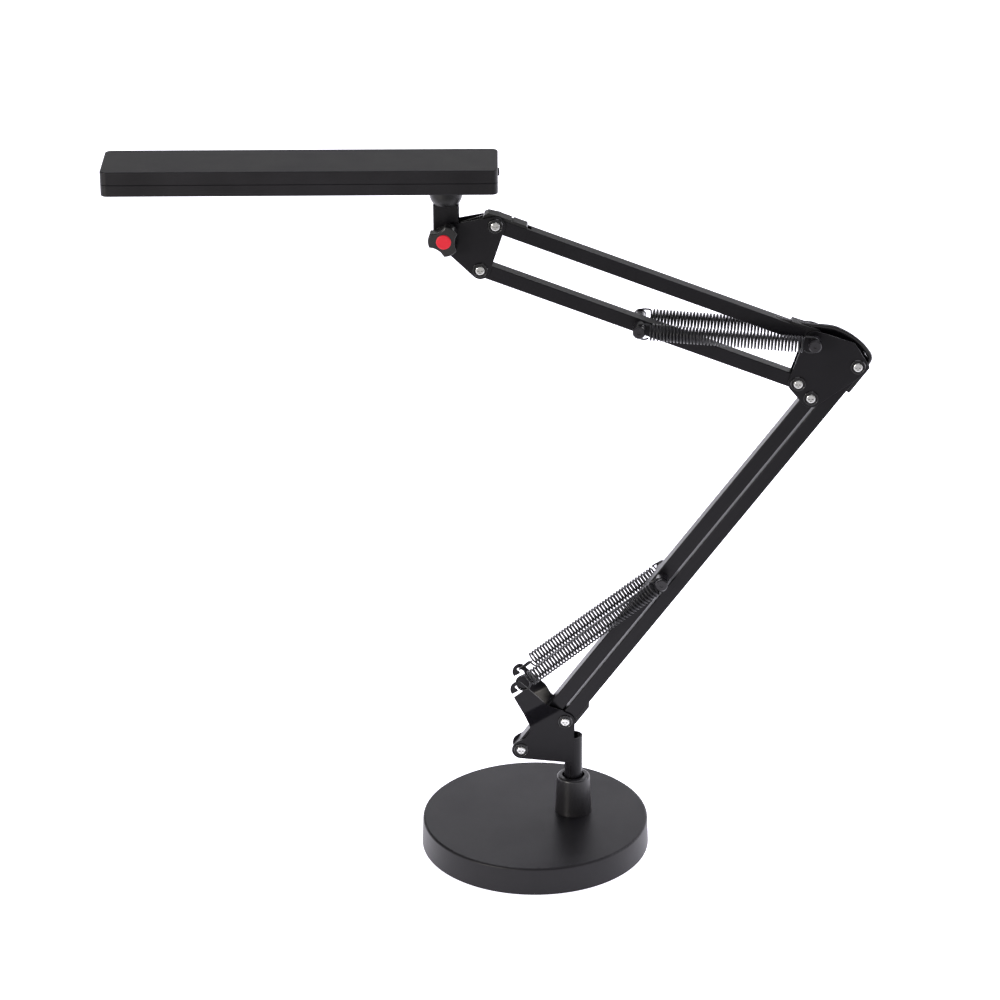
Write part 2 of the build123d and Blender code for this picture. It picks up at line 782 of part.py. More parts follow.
def make_elbow_plates():
    corner = (top_bar_elbow[0] + elbow_corner_x, top_bar_elbow[1] + elbow_corner_z)
    pivots = [front_top, rear_top, bottom_bar_elbow]
    lobes = [(point, elbow_lobe) for point in pivots + [top_bar_elbow]] + [(corner, elbow_corner_round)]
    holes = [(point, screw_hole) for point in pivots] + [(top_bar_elbow, pin_radius + seat_gap)]
    return mirrored_pair(rounded_plate(lobes, holes))


def make_head_plates():
    pivots = [top_bar_head, bottom_bar_head]
    lobes = [(point, head_lobe) for point in pivots] + [(tilt_axis, tilt_lobe)]
    holes = [(point, screw_hole) for point in pivots] + [(tilt_axis, bolt_radius + seat_gap)]
    return mirrored_pair(rounded_plate(lobes, holes))


# Neck: sheet channel with a closed top and two ears on the tilt bolt
def make_neck():
    left = swivel_x - neck_width / 2
    right = swivel_x + neck_width / 2
    ear = (left + neck_ear_radius, tilt_axis[1])
    outline = make_face(Polyline((left, tilt_axis[1]), (right, tilt_axis[1]), (right, neck_top), (left, neck_top),
                                 close=True))
    outline += Pos(*ear) * Circle(neck_ear_radius)
    corner = outline.vertices().sort_by_distance((right, tilt_axis[1] + neck_ear_radius, 0))[0]
    outline = fillet(corner, neck_ear_blend)
    channel = side_slab(outline, -bar_half, bar_half)
    upright_edges = channel.edges().filter_by(Axis.Z).group_by(Axis.X)[0]
    channel = fillet(upright_edges, neck_bend_round)
    inner_half = bar_half - neck_sheet
    web_bottom = tilt_axis[1] + neck_web_lift
    inner_top = neck_top - neck_sheet
    open_width = 2 * neck_width
    upper_space = Pos(left + neck_sheet + open_width / 2, 0, (web_bottom + inner_top) / 2) * Box(
        open_width, 2 * inner_half, inner_top - web_bottom)
    lower_space = Pos(swivel_x, 0, web_bottom - neck_width) * Box(4 * neck_width, 2 * inner_half, 2 * neck_width)
    neck = channel - upper_space - lower_space
    neck -= cross_rod(tilt_axis, bolt_radius + running_gap, -bar_width, bar_width)
    return neck - Pos(swivel_x, 0, neck_top) * Cylinder(spindle_radius + seat_gap, 4 * neck_sheet)


# Tilt bolt, hand knob and cap
knob_foot = plate_outer + moving_gap
knob_back = knob_foot + knob_boss_height
knob_front = knob_back + knob_depth
cap_seat = knob_front - cap_seat_depth


def make_tilt_bolt():
    head_end = plate_outer + bolt_head_height
    tip = cap_seat - 2 * moving_gap
    bolt = turned_across(tilt_axis, [(0, -tip), (bolt_radius, -tip), (bolt_radius, plate_outer),
                                     (bolt_head_radius, plate_outer), (bolt_head_radius, head_end),
                                     (0, head_end)])
    return fillet(bolt.edges().group_by(Axis.Y)[-1], bolt_head_height * 0.8)


def make_tilt_knob():
    star = Circle(knob_lobe_radius)
    for index in range(knob_lobe_count):
        valley = knob_first_lobe_angle + 360 * (index + 0.5) / knob_lobe_count
        star -= Rot(0, 0, valley) * Pos(knob_waist_radius + knob_valley_radius, 0) * Circle(knob_valley_radius)
    star = fillet(star.vertices(), knob_edge_round)
    grip = side_slab(Pos(*tilt_axis) * star, -knob_front, -knob_back)
    grip = fillet(grip.faces().sort_by(Axis.Y)[0].edges(), knob_edge_round)
    knob = grip + cross_rod(tilt_axis, knob_boss_radius, -knob_back, -knob_foot)
    knob -= cross_rod(tilt_axis, cap_radius + seat_gap, -knob_front - 1, -cap_seat)
    return knob - cross_rod(tilt_axis, bolt_radius + running_gap, -knob_front, -knob_foot + 1)


def make_knob_cap():
    cap = cross_rod(tilt_axis, cap_radius, -knob_front - cap_rise, -cap_seat)
    return fillet(cap.edges().group_by(Axis.Y)[0], cap_rise)


# Collar, hollow stud and nut that the head turns on
nut_low = head_bottom + head_wall + side_gap


def make_swivel_collar():
    bowl_top = collar_top - collar_straight
    profile = Polyline((0, neck_top), (collar_foot_radius, neck_top))
    bowl = ThreePointArc((collar_foot_radius, neck_top),
                         (collar_foot_radius + collar_fullness * (collar_radius - collar_foot_radius),
                          (neck_top + bowl_top) / 2),
                         (collar_radius, bowl_top))
    rest = Polyline((collar_radius, bowl_top), (collar_radius, collar_top), (0, collar_top), (0, neck_top))
    collar = revolve(make_face(Plane.XZ * (profile + bowl + rest)), Axis.Z)
    height = collar_top - neck_top
    collar -= Pos(0, 0, neck_top + height / 2) * Cylinder(spindle_radius + seat_gap, 2 * height)
    return Pos(swivel_x, 0, 0) * collar


def make_swivel_spindle():
    low = neck_top - neck_sheet
    high = nut_low + spindle_nut_height + spindle_overrun
    stud = Cylinder(spindle_radius, high - low) - Cylinder(spindle_bore, 2 * (high - low))
    return Pos(swivel_x, 0, (low + high) / 2) * stud


def make_spindle_nut():
    outline = RegularPolygon(spindle_nut_across_flats / 2, 6, major_radius=False)
    outline -= Circle(spindle_radius + seat_gap)
    return Pos(swivel_x, 0, nut_low) * extrude(outline, spindle_nut_height)


# Light head, drawn about its turning axis and then turned to its rest angle
head_place = Pos(swivel_x, 0, head_bottom) * Rot(0, 0, head_yaw)
head_left = head_swivel_inset - head_length
head_right = head_swivel_inset
head_middle = (head_left + head_right) / 2
window_left = head_left + window_left_margin
window_right = -window_swivel_margin
window_middle = (window_left + window_right) / 2
window_length = window_right - window_left
window_width = head_width - 2 * window_side_margin
head_screw_places = [(x, y) for x in (head_left + head_screw_left_inset, head_right - head_screw_right_inset)
                     for y in (-head_screw_side, head_screw_side)]
button_middle = head_height / 2
switch_front = head_right - head_wall - moving_gap - button_flange_thickness - button_travel - moving_gap


def head_block(grow, low, high):
    outline = RectangleRounded(head_length + 2 * grow, head_width + 2 * grow, head_corner + grow)
    return extrude(Pos(head_middle, 0, low) * outline, high - low)


def button_outline(grow):
    return SlotOverall(button_width + 2 * grow, button_height + 2 * grow)


def end_slab(outline, x_low, x_high):
    facing = Plane(origin=(x_low, 0, button_middle), x_dir=(0, 1, 0), z_dir=(1, 0, 0))
    return extrude(facing * outline, x_high - x_low)


def make_head_upper_shell():
    shell = head_block(0, head_seam_height, head_height)
    shell = chamfer(shell.edges().group_by(Axis.Z)[0], head_seam_bevel)
    shell = fillet(shell.edges().group_by(Axis.Z)[-1], head_edge_round)
    shell -= head_block(-head_wall, 0, head_height - head_wall)
    boss_length = head_height - head_wall - head_boss_height
    for x, y in head_screw_places:
        shell += Pos(x, y, head_boss_height + boss_length / 2) * Cylinder(head_boss_radius, boss_length)
        shell -= Pos(x, y, head_boss_height + head_screw_bite / 2) * Cylinder(
            head_screw_radius + seat_gap, head_screw_bite)
    shell -= end_slab(button_outline(moving_gap), head_right - 2 * head_wall, head_right + 1)
    return head_place * shell


def make_head_lower_shell():
    shell = head_block(0, 0, head_seam_height)
    shell = chamfer(shell.edges().group_by(Axis.Z)[-1], head_seam_bevel)
    shell = fillet(shell.edges().group_by(Axis.Z)[0], head_edge_round)
    shell -= head_block(-head_wall, head_wall, head_height)
    shell -= Pos(window_middle, 0, 0) * Box(window_length, window_width, 4 * head_wall)
    ledge_middle = head_width / 2 - head_wall - ledge_width / 2
    ledge_length = window_length + 2 * diffuser_lap
    for side in (-1, 1):
        shell += Pos(window_middle, side * ledge_middle, ledge_height / 2 + head_wall / 4) * Box(
            ledge_length, ledge_width, ledge_height - head_wall / 2)
    for x, y in head_screw_places:
        shell += Pos(x, y, head_boss_height / 2) * Cylinder(head_boss_radius, head_boss_height)
        shell -= Pos(x, y, head_screw_recess / 2) * Cylinder(head_screw_head_radius + side_gap, head_screw_recess)
        shell -= Pos(x, y, head_boss_height / 2) * Cylinder(head_screw_radius + side_gap, 2 * head_boss_height)
    shell -= end_slab(button_outline(moving_gap), head_right - 2 * head_wall, head_right + 1)
    shell -= Cylinder(spindle_radius + running_gap, 4 * head_wall)
    return head_place * shell


def make_diffuser():
    length = window_length + 2 * diffuser_lap
    width = window_width + 2 * diffuser_lap
    return head_place * Pos(window_middle, 0, head_wall + diffuser_thickness / 2) * Box(
        length, width, diffuser_thickness)


def make_led_board():
    length = window_length + 2 * diffuser_lap
    width = head_width - 2 * head_wall - 2 * moving_gap
    return head_place * Pos(window_middle, 0, ledge_height + led_board_thickness / 2) * Box(
        length, width, led_board_thickness)


def make_led_chips():
    pitch = window_length / led_columns
    chips = []
    for row in range(led_rows):
        y = led_row_spacing * (row - (led_rows - 1) / 2)
        for column in range(led_columns):
            x = window_left + pitch * (column + 0.5)
            chip = Pos(x, y, ledge_height - led_height / 2) * Box(led_length, led_width, led_height)
            chips.append(head_place * chip)
    return chips


def make_head_screws():
    head_low = head_screw_recess - head_screw_head_height
    shank_top = head_boss_height + head_screw_bite - moving_gap
    profile = [(0, head_low), (head_screw_head_radius, head_low), (head_screw_head_radius, head_screw_recess),
               (head_screw_radius, head_screw_recess), (head_screw_radius, shank_top), (0, shank_top)]
    return [head_place * Pos(x, y, 0) * turned_upright(profile) for x, y in head_screw_places]


def make_switch_body():
    body = Pos(switch_front - switch_length / 2, 0, head_wall + switch_height / 2) * Box(
        switch_length, switch_width, switch_height)
    stem_hole = end_slab(Circle(button_stem_radius + running_gap),
                         switch_front - button_stem_length - moving_gap - button_travel, switch_front + 1)
    return head_place * (body - stem_hole)


def make_switch_button():
    flange_front = head_right - head_wall - moving_gap
    flange_back = flange_front - button_flange_thickness
    key = end_slab(button_outline(0), flange_front, head_right + button_rise)
    key = fillet(key.edges().group_by(Axis.X)[-1], button_rise / 2)
    key += end_slab(button_outline(button_flange), flange_back, flange_front)
    key += end_slab(Circle(button_stem_radius), switch_front - button_stem_length, flange_back)
    return head_place * key


# Every piece under its own name
def all_pieces():
    bracket_pivots = [front_foot, rear_foot]
    elbow_pivots = [front_top, rear_top, bottom_bar_elbow]
    head_pivots = [top_bar_head, bottom_bar_head]
    lower_springs = mirrored_pair(make_lower_spring())
    upper_springs = mirrored_pair(make_upper_spring())
    elbow_plates = make_elbow_plates()
    head_plates = make_head_plates()
    loop_lower, loop_upper = make_lead_loop_halves()
    neck_outer = bar_half
    pieces = {
        "base_cover": [make_base_cover()],
        "base_ballast": [make_base_ballast()],
        "base_plate": [make_base_plate()],
        "foot_pad": [make_foot_pad()],
        "base_screws": make_base_screws(),
        "post_socket": [make_post_socket()],
        "post_bushing": [make_post_bushing()],
        "lower_bracket": [make_lower_bracket()],
        "lower_spring_far": [lower_springs[0]],
        "lower_spring_near": [lower_springs[1]],
        "lower_front_bar": [lower_bar_place * make_lower_front_bar()],
        "lower_bar_foot_clip": [lower_bar_place * make_lower_foot_clip()],
        "lower_bar_elbow_clip": [lower_bar_place * make_lower_elbow_clip()],
        "lower_lead": [lower_bar_place * bar_lead(lower_lead_points, lead_radius)],
        "lower_rear_bar": [rear_bar_place * make_bar(
            lower_arm, [(0, pivot_hole), (lower_pin_reach, pin_hole), (lower_arm, open_pivot_hole)])],
        "lower_spring_pin": [make_spring_pin(lower_pin_place, bar_half, lower_spring_plane)],
        "elbow_plate_far": [elbow_plates[0]],
        "elbow_plate_near": [elbow_plates[1]],
        "elbow_spring_pin": [make_spring_pin(top_bar_elbow, plate_outer, upper_spring_plane)],
        "upper_spring_far": [upper_springs[0]],
        "upper_spring_near": [upper_springs[1]],
        "lead_loop_lower": [loop_lower],
        "lead_loop_upper": [loop_upper],
        "upper_top_bar": [top_bar_place * make_upper_top_bar()],
        "upper_bar_elbow_clip": [top_bar_place * make_upper_elbow_clip()],
        "upper_bar_head_clip": [top_bar_place * make_upper_head_clip()],
        "upper_lead": [top_bar_place * bar_lead(upper_lead_points, lead_radius)],
        "upper_bottom_bar": [bottom_bar_place * make_bar(
            upper_arm, [(0, open_pivot_hole), (upper_arm - upper_pin_reach, pin_hole), (upper_arm, pivot_hole)])],
        "upper_spring_pin": [make_spring_pin(upper_pin_place, bar_half, upper_spring_plane)],
        "head_plate_far": [head_plates[0]],
        "head_plate_near": [head_plates[1]],
        "tilt_bolt": [make_tilt_bolt()],
        "head_lead": [make_head_lead(lead_radius)],
        "neck": [make_neck()],
        "neck_washers": mirrored_pair(side_slab(
            Pos(*tilt_axis) * (Circle(washer_radius) - Circle(bolt_radius + running_gap)),
            neck_outer, neck_outer + washer_thickness)),
        "swivel_collar": [make_swivel_collar()],
        "swivel_spindle": [make_swivel_spindle()],
        "spindle_nut": [make_spindle_nut()],
        "tilt_knob": [make_tilt_knob()],
        "knob_cap": [make_knob_cap()],
        "head_upper_shell": [make_head_upper_shell()],
        "head_lower_shell": [make_head_lower_shell()],
        "diffuser": [make_diffuser()],
        "led_board": [make_led_board()],
        "led_chips": make_led_chips(),
        "head_screws": make_head_screws(),
        "switch_body": [make_switch_body()],
        "switch_button": [make_switch_button()],
    }
    for group, pivots in (("lower_bracket", bracket_pivots), ("elbow", elbow_pivots),
                          ("head_bracket", head_pivots)):
        pieces[group + "_screws"] = [make_pivot_screw(pivot) for pivot in pivots]
        pieces[group + "_cups"] = [make_cup_washer(pivot) for pivot in pivots]
        pieces[group + "_nuts"] = [make_nut(pivot) for pivot in pivots]
        pieces[group + "_washers"] = [washer for pivot in pivots for washer in make_washers(pivot, screw_radius)]
    pieces["elbow_washers"] += make_washers(top_bar_elbow, pin_radius)
    return pieces


os.makedirs("parts", exist_ok=True)
for name, solids in all_pieces().items():
    shapes = [solid for piece in solids for solid in piece.solids()]
    export_step(shapes[0] if len(shapes) == 1 else Compound(shapes), os.path.join("parts", name + ".step"))
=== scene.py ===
import json
import math

import bpy
from mathutils import Matrix, Vector


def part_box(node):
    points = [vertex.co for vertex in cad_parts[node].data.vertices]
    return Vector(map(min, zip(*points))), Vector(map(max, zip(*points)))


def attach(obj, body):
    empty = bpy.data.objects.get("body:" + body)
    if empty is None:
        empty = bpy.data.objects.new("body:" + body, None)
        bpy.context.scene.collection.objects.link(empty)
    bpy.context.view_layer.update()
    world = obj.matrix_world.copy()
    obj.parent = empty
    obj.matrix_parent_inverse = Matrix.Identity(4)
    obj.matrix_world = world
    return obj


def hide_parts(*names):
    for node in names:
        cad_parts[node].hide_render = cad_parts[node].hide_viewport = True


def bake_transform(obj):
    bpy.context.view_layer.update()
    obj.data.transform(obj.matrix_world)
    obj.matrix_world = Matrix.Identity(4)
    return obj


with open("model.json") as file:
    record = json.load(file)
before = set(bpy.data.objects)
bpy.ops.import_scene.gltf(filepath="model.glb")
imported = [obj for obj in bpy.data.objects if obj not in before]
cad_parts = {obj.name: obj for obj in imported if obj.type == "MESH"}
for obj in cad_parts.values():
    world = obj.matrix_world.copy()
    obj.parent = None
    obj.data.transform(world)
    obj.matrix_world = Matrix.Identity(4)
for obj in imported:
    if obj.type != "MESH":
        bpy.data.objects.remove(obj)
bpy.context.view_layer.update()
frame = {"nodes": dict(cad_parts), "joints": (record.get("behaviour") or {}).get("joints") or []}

# Camera
# The photograph was taken from the front and a little to the right, looking down at the lamp.
# Its long lens and the small offset of its picture centre come from the base's and arms' perspective.
camera_place = Vector((0.111, -2.9595, 1.6393))
camera_azimuth = math.radians(2.943)
camera_pitch = math.radians(23.862)
camera_roll = math.radians(-0.186)
sensor_width = 36.0
lens_length = 135.08
picture_shift_x = -0.02638
picture_shift_y = -0.00147
view_depth = 50.0
bpy.ops.object.select_all(action="DESELECT")
bpy.ops.object.camera_add(location=camera_place)
camera = bpy.context.object
camera.name = "photo_camera"
camera.data.sensor_width = sensor_width
camera.data.lens = lens_length
camera.data.shift_x = picture_shift_x
camera.data.shift_y = picture_shift_y
camera.data.clip_end = view_depth
turn = Matrix.Rotation(camera_azimuth, 4, "Z") @ Matrix.Rotation(math.pi / 2 - camera_pitch, 4, "X")
camera.matrix_world = Matrix.Translation(camera_place) @ turn @ Matrix.Rotation(camera_roll, 4, "Z")
bpy.context.scene.camera = camera

# Table top
# A seamless sheet of white paper with painted light: it glows under and behind the lamp, and painted shade
# makes it greyer far in front of it.
# The lamp's black fronts reflect the grey part, so they are as dark as in the photograph.
bpy.context.scene.view_settings.view_transform = "Standard"
floor_size = 30.0
paper_roughness = 0.9
paper_specular = 0.1
glow_colour = (1, 0.98, 1.1, 1)
front_edge = -1.2
glow_edge = 0.25
full_glow = 1.3
painted_shade_end = -0.35
shaded_front_colour = 0.66
lit_near_colour = 0.9


def place_parts(tree, kind):
    """The X, Y and Z outputs of one kind of texture coordinate."""
    place = tree.nodes.new("ShaderNodeTexCoord")
    split = tree.nodes.new("ShaderNodeSeparateXYZ")
    tree.links.new(place.outputs[kind], split.inputs["Vector"])
    return split.outputs


def mapped(tree, value, start, end, first, last):
    """The output of a node that takes a value from start..end to first..last."""
    node = tree.nodes.new("ShaderNodeMapRange")
    node.inputs["From Min"].default_value = start
    node.inputs["From Max"].default_value = end
    node.inputs["To Min"].default_value = first
    node.inputs["To Max"].default_value = last
    tree.links.new(value, node.inputs["Value"])
    return node.outputs["Result"]


bpy.ops.mesh.primitive_plane_add(size=floor_size, location=(0, 0, 0))
floor = bpy.context.object
floor.name = "table_top"
floor_paper = bpy.data.materials.new("table_paper_painted_glow_and_shade")
floor_paper.use_nodes = True
paper = floor_paper.node_tree
paper_shader = paper.nodes["Principled BSDF"]
paper_shader.inputs["Roughness"].default_value = paper_roughness
paper_shader.inputs["Specular IOR Level"].default_value = paper_specular
paper_shader.inputs["Emission Color"].default_value = glow_colour
backward = place_parts(paper, "Object")["Y"]
# Painted light: the paper glows, from nothing at the front edge to full strength under and behind the lamp.
paper_glow = mapped(paper, backward, front_edge, glow_edge, 0.0, full_glow)
paper.links.new(paper_glow, paper_shader.inputs["Emission Strength"])
# Painted shade: the paper's colour turns greyer towards the front, away from the lamp.
painted_shade_colour = mapped(paper, backward, front_edge, painted_shade_end, shaded_front_colour, lit_near_colour)
paper.links.new(painted_shade_colour, paper_shader.inputs["Base Color"])
floor.data.materials.append(floor_paper)

# Studio light
# A wide softbox hangs overhead, and smaller ones stand at the left front, the right, the back and
# the right back. The room around is white, bright up to the horizon and dimmer above it.
cool_white = (1.0, 0.98, 1.08)
warm_white = (1.0, 0.95, 0.88)
room_colour = (1, 1, 1, 1)
bright_below = 0.14
dim_above = 0.26
horizon_light = 1.2
ceiling_light = 0.32


def softbox(name, place, aim, width, height, power, colour):
    """A rectangular light at a place, turned to its aim and hidden from the camera."""
    bpy.ops.object.light_add(type="AREA", location=place)
    light = bpy.context.object
    light.name = name
    light.data.shape = "RECTANGLE"
    light.data.size = width
    light.data.size_y = height
    light.data.energy = power
    light.data.color = colour
    light.visible_camera = False
    light.rotation_euler = (Vector(aim) - Vector(place)).to_track_quat("-Z", "Y").to_euler()


softbox("overhead_softbox", place=(0.1, 0.5, 2.6), aim=(0, 0.05, 0.3), width=2.4, height=1.8, power=26,
        colour=cool_white)
softbox("left_front_softbox", place=(-1.75, -2.1, 0.82), aim=(0, 0, 0.2), width=0.7, height=0.55, power=40,
        colour=warm_white)
softbox("right_softbox", place=(2.4, 0.3, 0.9), aim=(0.1, 0, 0.3), width=0.8, height=1.8, power=14,
        colour=cool_white)
softbox("back_softbox", place=(0, 1.15, 0.49), aim=(0, 0, 0.03), width=2.4, height=0.26, power=4.4,
        colour=cool_white)
softbox("right_back_softbox", place=(1.7, 1.7, 2.2), aim=(0.2, 0, 0.5), width=0.5, height=0.5, power=16,
        colour=cool_white)
studio = bpy.data.worlds.new("studio_white")
studio.use_nodes = True
room = studio.node_tree
room_light = room.nodes["Background"]
upward = place_parts(room, "Generated")["Z"]
room_fall = mapped(room, upward, bright_below, dim_above, horizon_light, ceiling_light)
room.links.new(room_fall, room_light.inputs["Strength"])
room_light.inputs["Color"].default_value = room_colour
bpy.context.scene.world = studio

# Pivots
# Every arm joint turns on a screw or pin through its bars, at the places that the frame gives.
# The directions along the bars follow from them.
pivot = {joint["name"]: Vector(joint["pos_m"]) for joint in frame["joints"] if "pos_m" in joint}
front_foot = pivot["lower_arm_tilt"]
front_top = pivot["elbow_level"]
top_bar_elbow = pivot["upper_arm_tilt"]
top_bar_head = pivot["head_bracket_level"]
tilt_axis = pivot["head_tilt"]
across = Vector((0, 1, 0))
up_lower_arm = (front_top - front_foot).normalized()
out_lower_arm = across.cross(up_lower_arm)
along_top_bar = (top_bar_elbow - top_bar_head).normalized()
above_top_bar = along_top_bar.cross(across)

# Extension springs
# Black steel wire is wound into even coils, and each end is bent up into a loop.
# Round loops hang in the lower bracket's slotted hooks, long ones in the cross pins' grooves.
wire_radius = 0.00083
wire_roundness = 2
wire_order = 4
wire_fineness = 3
lower_coil_radius = 0.0061
upper_coil_radius = 0.0066
coil_count = 46
coil_steps = 12
coil_outward = 0.0012
lower_loop_run = 0.0042
upper_loop_run = 0.0062
loop_bend_steps = 6
loop_leave_share = 0.5
loop_return_share = 0.45
loop_tail_share = 0.12
loop_tail_width = 0.8
lower_groove_plane = 0.0166
upper_groove_plane = 0.0178
groove_radius = 0.003
hook_plane = 0.0175
hook_place = front_foot + Vector((-0.0411, 0, 0.0383))
ring_radius = 0.0063
ring_reach = 0.0134
ring_start_degrees = -165
ring_end_degrees = 120
ring_step_degrees = 15
ring_lean = 0.0015
lean_steepness = 3
far_ring_turn = math.radians(62)

# A smooth curve that points on a circle guide runs inside them, at this share of their radius.
curve_shrink = (2 + math.cos(2 * math.pi / coil_steps)) / 3


def tube_piece(name, route, radius, roundness, order, fineness):
    """A round tube as a mesh, along the smooth curve that a route's points guide."""
    curve = bpy.data.curves.new(name, "CURVE")
    curve.dimensions = "3D"
    curve.bevel_depth = radius
    curve.bevel_resolution = roundness
    curve.use_fill_caps = True
    line = curve.splines.new("NURBS")
    line.points.add(len(route) - 1)
    for point, spot in zip(line.points, route):
        point.co = (*spot, 1)
    line.order_u = order
    line.use_endpoint_u = True
    line.resolution_u = fineness
    piece = bpy.data.objects.new(name, curve)
    bpy.context.scene.collection.objects.link(piece)
    bpy.ops.object.select_all(action="DESELECT")
    piece.select_set(True)
    bpy.context.view_layer.objects.active = piece
    bpy.ops.object.convert(target="MESH")
    bpy.ops.object.shade_smooth()
    return bpy.context.object


def loop_points(end, outward, sideways, radius, loop_run):
    """Guides of a long loop from a coil's last turn, round its far end and back."""
    centre = end + outward * loop_run
    route = [end + sideways * radius + outward * (loop_run * loop_leave_share)]
    for step in range(loop_bend_steps + 1):
        angle = math.pi * step / loop_bend_steps
        route.append(centre + (sideways * math.cos(angle) + outward * math.sin(angle)) * radius)
    route.append(end - sideways * radius + outward * (loop_run * loop_return_share))
    route.append(end - sideways * radius * loop_tail_width + outward * (loop_run * loop_tail_share))
    return route


def ring_points(hook, axis, side, lean):
    """Guides of a round loop that crosses the hook's sheet at its far end."""
    route = []
    for degrees in range(ring_start_degrees, ring_end_degrees + 1, ring_step_degrees):
        angle = math.radians(degrees)
        around = side * math.sin(angle) - axis * math.cos(angle)
        leaning = across * lean * math.tanh(lean_steepness * math.sin(angle))
        route.append(hook + (axis + around) * ring_radius + leaning)
    return route


def spring_piece(name, first_hold, last_hold, coil_radius, loop_run, hook_lean=None, ring_turn=0.0):
    """One spring between two holding points, its far loops touching the far side of each."""
    axis = (last_hold - first_hold).normalized()
    side = axis.cross(across).normalized()
    third = axis.cross(side)
    reach = loop_run + coil_radius
    radius = coil_radius / curve_shrink
    coil_end = last_hold - axis * (reach - groove_radius - wire_radius)
    if hook_lean is None:
        coil_start = first_hold + axis * (reach - wire_radius)
        route = list(reversed(loop_points(coil_start, -axis, side, radius, loop_run)))
    else:
        coil_start = first_hold + axis * ring_reach - across * math.copysign(coil_outward, hook_lean)
        ring_side = side * math.cos(ring_turn) + third * math.sin(ring_turn)
        route = ring_points(first_hold, axis, ring_side, hook_lean * math.cos(ring_turn))
    steps = coil_count * coil_steps
    turned = 2 * math.pi * coil_count - ring_turn
    for step in range(steps + 1):
        angle = ring_turn + turned * step / steps
        centre = coil_start.lerp(coil_end, step / steps)
        route.append(centre + (side * math.cos(angle) + third * math.sin(angle)) * radius)
    route += loop_points(coil_end, axis, side, radius, loop_run)
    return tube_piece(name, route, wire_radius, wire_roundness, wire_order, wire_fineness)


def finish(name, colour, roughness, grain, grain_depth, cloud, cloud_spread, rough_spread, metallic=0.0,
           specular=0.5):
    """A finish with fine grain in its surface and soft clouds in its colour and gloss."""
    grain_detail = 3
    grain_strength = 0.6
    cloud_detail = 5
    cloud_dark_edge = 0.3
    cloud_light_edge = 0.7
    made = bpy.data.materials.new(name)
    made.use_nodes = True
    tree = made.node_tree
    shader = tree.nodes["Principled BSDF"]
    shader.inputs["Metallic"].default_value = metallic
    shader.inputs["Specular IOR Level"].default_value = specular
    place = tree.nodes.new("ShaderNodeTexCoord")
    fine = tree.nodes.new("ShaderNodeTexNoise")
    fine.inputs["Scale"].default_value = grain
    fine.inputs["Detail"].default_value = grain_detail
    tree.links.new(place.outputs["Object"], fine.inputs["Vector"])
    bump = tree.nodes.new("ShaderNodeBump")
    bump.inputs["Strength"].default_value = grain_strength
    bump.inputs["Distance"].default_value = grain_depth
    tree.links.new(fine.outputs["Fac"], bump.inputs["Height"])
    tree.links.new(bump.outputs["Normal"], shader.inputs["Normal"])
    soft = tree.nodes.new("ShaderNodeTexNoise")
    soft.inputs["Scale"].default_value = cloud
    soft.inputs["Detail"].default_value = cloud_detail
    tree.links.new(place.outputs["Object"], soft.inputs["Vector"])
    tint = tree.nodes.new("ShaderNodeValToRGB")
    tint.color_ramp.elements[0].position = cloud_dark_edge
    tint.color_ramp.elements[1].position = cloud_light_edge
    tint.color_ramp.elements[0].color = (*[value * (1 - cloud_spread) for value in colour], 1)
    tint.color_ramp.elements[1].color = (*[value * (1 + cloud_spread) for value in colour], 1)
    tree.links.new(soft.outputs["Fac"], tint.inputs["Fac"])
    tree.links.new(tint.outputs["Color"], shader.inputs["Base Color"])
    gloss = mapped(tree, soft.outputs["Fac"], 0.0, 1.0, roughness - rough_spread, roughness + rough_spread)
    tree.links.new(gloss, shader.inputs["Roughness"])
    return made


def pin_middle(node):
    """The middle of a CAD node's box."""
    low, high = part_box(node)
    return (low + high) / 2


oxide_wire = finish("black_oxide_wire", (0.012, 0.012, 0.014), roughness=0.34, grain=900,
                    grain_depth=0.00003, cloud=60, cloud_spread=0.25, rough_spread=0.08, metallic=0.3)
for side_name, side_sign, ring_turn in (("near", -1, 0.0), ("far", 1, far_ring_turn)):
    hook = hook_place + across * hook_plane * side_sign
    lower_hold = pin_middle("lower_spring_pin") + across * lower_groove_plane * side_sign
    lower_spring = spring_piece("lower_coil_spring_" + side_name, hook, lower_hold, lower_coil_radius,
                                lower_loop_run, -side_sign * ring_lean, ring_turn)
    lower_spring.data.materials.append(oxide_wire)
    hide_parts("lower_spring_" + side_name)
    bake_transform(lower_spring)
    bar_hold = pin_middle("upper_spring_pin") + across * upper_groove_plane * side_sign
    elbow_hold = top_bar_elbow + across * upper_groove_plane * side_sign
    pull = (elbow_hold - bar_hold).normalized()
    upper_spring = spring_piece("upper_coil_spring_" + side_name, bar_hold - pull * groove_radius, elbow_hold,
                                upper_coil_radius, upper_loop_run)
    upper_spring.data.materials.append(oxide_wire)
    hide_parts("upper_spring_" + side_name)
    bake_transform(upper_spring)

# Lead
# A round black plastic-covered lead runs inside two of the bars and loops over the elbow.
# It comes out under a clip at each bar's end, so it bends freely where the joints turn.
lead_radius = 0.0023
lead_roundness = 5
lead_order = 3
lead_fineness = 12
lead_outward = 0.006
lower_arm = (front_top - front_foot).length
upper_arm = (top_bar_elbow - top_bar_head).length
foot_start = 0.0014
foot_straight = 0.016
foot_inside = 0.038
elbow_inside = 0.042
elbow_straight = 0.02
clip_past = 0.0055
loop_straight = 0.003
mouth_rise = 0.0106
mouth_back = 0.001
mouth_inside = 0.034
mouth_straight = 0.009
head_rise = 0.0052
head_past = 0.002
head_leave = 0.007
head_straight = 0.01
head_inside = 0.032
lead_jacket = finish("black_lead_jacket", (0.006, 0.0056, 0.007), roughness=0.22, grain=1400,
                     grain_depth=0.00001, cloud=90, cloud_spread=0.2, rough_spread=0.05)


def on_lower_bar(along, out):
    """A place along the lower front bar from its foot pivot, and out from its middle line."""
    return front_foot + up_lower_arm * along + out_lower_arm * out


